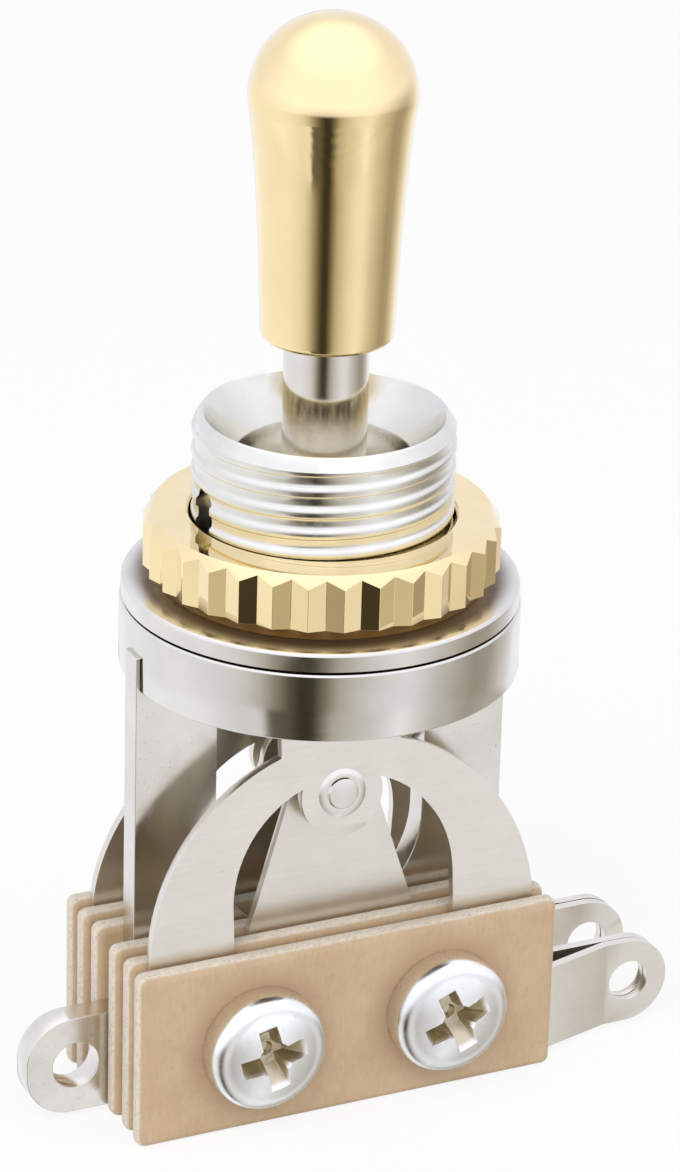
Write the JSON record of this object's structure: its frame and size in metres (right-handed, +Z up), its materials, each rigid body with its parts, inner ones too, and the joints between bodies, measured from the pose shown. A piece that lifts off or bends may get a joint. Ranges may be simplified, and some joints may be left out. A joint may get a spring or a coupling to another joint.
{
  "type": "toggle switch",
  "caption": "Panel-mount lever toggle switch with a threaded bushing, knurled dress nut, clamped leaf-spring contacts and solder lugs.",
  "frame": {"origin": "on the bushing's axis, in the plane of the flange's top face, which seats against the panel", "axes": "+Z up along the bushing and the upright lever; X along the insulating plates, with the paired solder lugs at +X and the ground lug at -X; the lever swings to -Y (front, screw heads) and +Y (back, screw nuts)"},
  "size_m": [0.0326, 0.0184, 0.052],
  "materials": {
    "gold_plate": "polished gold plating on brass",
    "nickel_bright": "polished nickel plating",
    "nickel_satin": "satin nickel plating",
    "spring_nickel": "rolled nickel silver strip",
    "contact_silver": "silver rivet",
    "steel": "plain steel",
    "zinc_bright": "bright zinc plating",
    "phenolic_tan": "paper-based phenolic laminate",
    "phenolic_dark": "dark phenolic"
  },
  "bodies": {
    "frame": {"bushing": "nickel_bright", "retaining_ring": "steel", "frame_cup": "nickel_satin", "frame_plate": "nickel_satin", "insulator_inner_front": "phenolic_tan", "insulator_middle_front": "phenolic_tan", "insulator_outer_front": "phenolic_tan", "arch_leaf_front": "spring_nickel", "tongue_leaf_front": "spring_nickel", "arch_contact_front": "contact_silver", "tongue_contact_front": "contact_silver", "insulator_inner_back": "phenolic_tan", "insulator_middle_back": "phenolic_tan", "insulator_outer_back": "phenolic_tan", "arch_leaf_back": "spring_nickel", "tongue_leaf_back": "spring_nickel", "arch_contact_back": "contact_silver", "tongue_contact_back": "contact_silver", "screw_left": "zinc_bright", "screw_nut_left": "zinc_bright", "screw_sleeve_left": "phenolic_dark", "screw_right": "zinc_bright", "screw_nut_right": "zinc_bright", "screw_sleeve_right": "phenolic_dark"},
    "lever": {"tip": "gold_plate", "lever": "nickel_bright", "pivot_pin": "steel", "cam": "phenolic_dark"},
    "dress_nut": {"dress_nut": "gold_plate"}
  },
  "joints": [
    {"name": "lever_tilt", "type": "hinge", "parent": "frame", "child": "lever", "pos_m": [0, 0, 0.0016], "axis": [1, 0, 0], "range_deg": [-15, 15], "deforming": ["arch_leaf_front", "arch_leaf_back"]},
    {"name": "nut_travel", "type": "slide", "parent": "frame", "child": "dress_nut", "axis": [0, 0, 1], "range_m": [0, 0.0045]}
  ]
}
